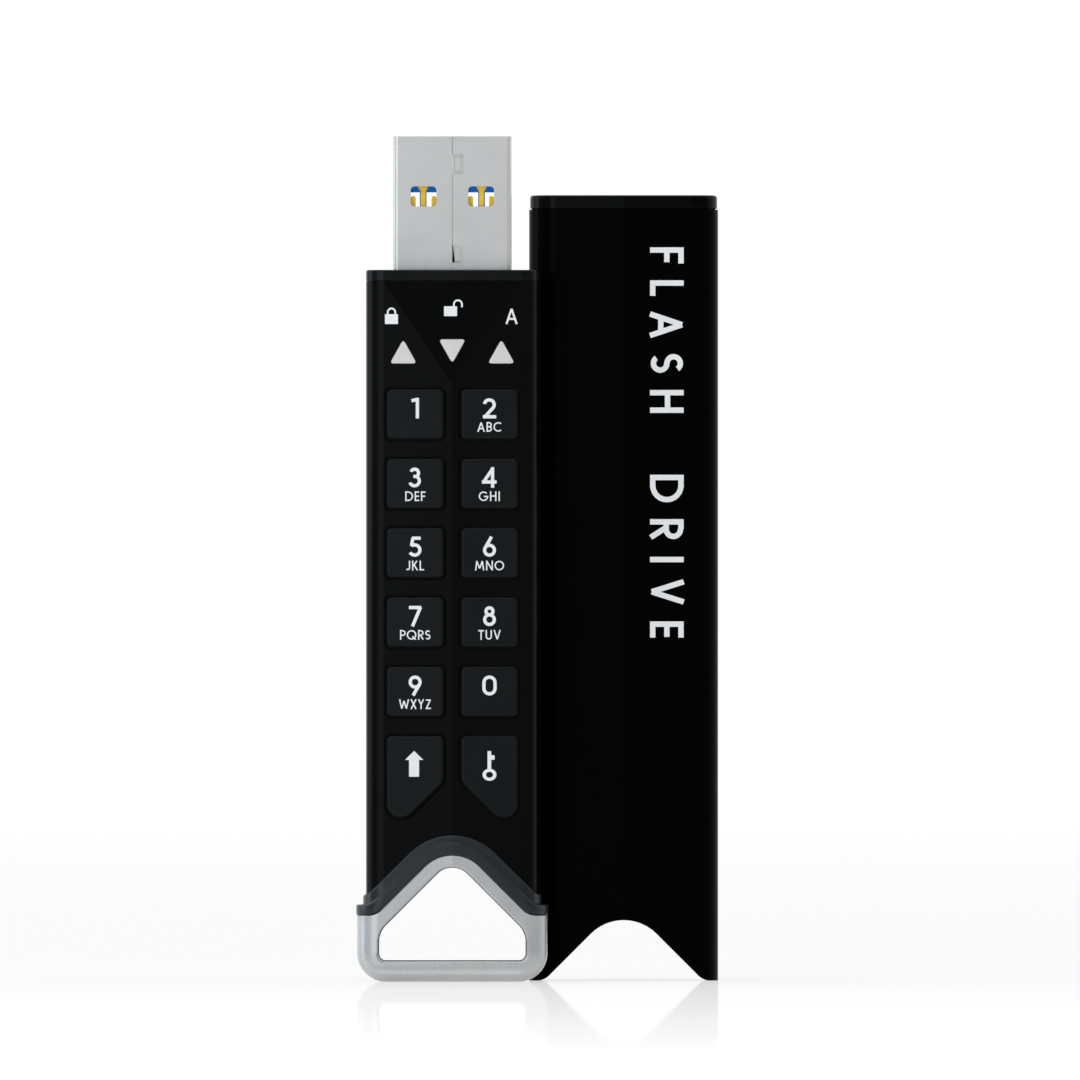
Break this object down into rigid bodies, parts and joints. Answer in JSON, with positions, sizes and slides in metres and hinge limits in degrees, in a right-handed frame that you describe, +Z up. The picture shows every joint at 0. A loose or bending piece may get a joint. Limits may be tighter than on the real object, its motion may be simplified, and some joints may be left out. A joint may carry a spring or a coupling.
{
  "type": "usb flash drive",
  "caption": "Keypad-locked flash drive with a metal plug, chevron collar and metal key loop, standing beside its removable slip-on sleeve.",
  "frame": {"origin": "centre of the flat foot of the key loop (bail), which the drive stands on", "axes": "+Z up along the drive towards the plug's tip, -Y out of the keypad, +X to the right of someone reading the keys"},
  "size_m": [0.0368, 0.022, 0.0857],
  "materials": {
    "black_anodised": "fine bead-blasted, black anodised",
    "key_rubber": "hard coated satin",
    "collar_rubber": "moulded, smooth matt",
    "satin_nickel": "satin nickel",
    "plug_steel": "satin, rolled",
    "blue_plastic": "moulded",
    "gold": "gold plated",
    "lens_plastic": "milky light guide",
    "board_green": "solder resist",
    "chip_black": "moulded epoxy",
    "dome_steel": "plain",
    "foil": "laminated foil",
    "web_rubber": "matt",
    "led_resin": "clear yellowish resin"
  },
  "bodies": {
    "drive": {"front_cover": "black_anodised", "rear_shell": "black_anodised", "top_end_plate": "black_anodised", "collar": "collar_rubber", "bail": "satin_nickel", "bail_pin_left": "plug_steel", "bail_pin_right": "plug_steel", "usb_shell": "plug_steel", "usb_tongue": "blue_plastic", "usb_contact_1": "gold", "usb_contact_2": "gold", "usb_contact_3": "gold", "usb_contact_4": "gold", "usb_fast_contact_1": "gold", "usb_fast_contact_2": "gold", "usb_fast_contact_3": "gold", "usb_fast_contact_4": "gold", "usb_fast_contact_5": "gold", "main_board": "board_green", "keypad_web": "web_rubber", "dome_sheet": "dome_steel", "lens_lock": "lens_plastic", "lens_unlock": "lens_plastic", "lens_admin": "lens_plastic", "led_lock": "led_resin", "led_unlock": "led_resin", "led_admin": "led_resin", "flash_chip": "chip_black", "security_controller": "chip_black", "bridge_chip": "chip_black", "crystal": "dome_steel", "battery": "foil", "battery_tab_plus": "dome_steel", "battery_tab_minus": "dome_steel"},
    "key_1": {"key_1": "key_rubber"},
    "key_2": {"key_2": "key_rubber"},
    "key_3": {"key_3": "key_rubber"},
    "key_4": {"key_4": "key_rubber"},
    "key_5": {"key_5": "key_rubber"},
    "key_6": {"key_6": "key_rubber"},
    "key_7": {"key_7": "key_rubber"},
    "key_8": {"key_8": "key_rubber"},
    "key_9": {"key_9": "key_rubber"},
    "key_0": {"key_0": "key_rubber"},
    "key_shift": {"key_shift": "key_rubber"},
    "key_unlock": {"key_unlock": "key_rubber"},
    "sleeve": {"sleeve_tube": "black_anodised", "sleeve_cap": "black_anodised", "sleeve_cap_gasket": "collar_rubber"}
  },
  "joints": [
    {"name": "key_1_press", "type": "slide", "parent": "drive", "child": "key_1", "axis": [0, 1, 0], "range_m": [0, 0.0003], "stiffness_N_per_m": 5000},
    {"name": "key_2_press", "type": "slide", "parent": "drive", "child": "key_2", "axis": [0, 1, 0], "range_m": [0, 0.0003], "stiffness_N_per_m": 5000},
    {"name": "key_3_press", "type": "slide", "parent": "drive", "child": "key_3", "axis": [0, 1, 0], "range_m": [0, 0.0003], "stiffness_N_per_m": 5000},
    {"name": "key_4_press", "type": "slide", "parent": "drive", "child": "key_4", "axis": [0, 1, 0], "range_m": [0, 0.0003], "stiffness_N_per_m": 5000},
    {"name": "key_5_press", "type": "slide", "parent": "drive", "child": "key_5", "axis": [0, 1, 0], "range_m": [0, 0.0003], "stiffness_N_per_m": 5000},
    {"name": "key_6_press", "type": "slide", "parent": "drive", "child": "key_6", "axis": [0, 1, 0], "range_m": [0, 0.0003], "stiffness_N_per_m": 5000},
    {"name": "key_7_press", "type": "slide", "parent": "drive", "child": "key_7", "axis": [0, 1, 0], "range_m": [0, 0.0003], "stiffness_N_per_m": 5000},
    {"name": "key_8_press", "type": "slide", "parent": "drive", "child": "key_8", "axis": [0, 1, 0], "range_m": [0, 0.0003], "stiffness_N_per_m": 5000},
    {"name": "key_9_press", "type": "slide", "parent": "drive", "child": "key_9", "axis": [0, 1, 0], "range_m": [0, 0.0003], "stiffness_N_per_m": 5000},
    {"name": "key_0_press", "type": "slide", "parent": "drive", "child": "key_0", "axis": [0, 1, 0], "range_m": [0, 0.0003], "stiffness_N_per_m": 5000},
    {"name": "key_shift_press", "type": "slide", "parent": "drive", "child": "key_shift", "axis": [0, 1, 0], "range_m": [0, 0.0003], "stiffness_N_per_m": 5000},
    {"name": "key_unlock_press", "type": "slide", "parent": "drive", "child": "key_unlock", "axis": [0, 1, 0], "range_m": [0, 0.0003], "stiffness_N_per_m": 5000},
    {"name": "sleeve_lift", "type": "slide", "parent": "drive", "child": "sleeve", "axis": [0, 0, 1], "range_m": [0, 0.09]}
  ]
}
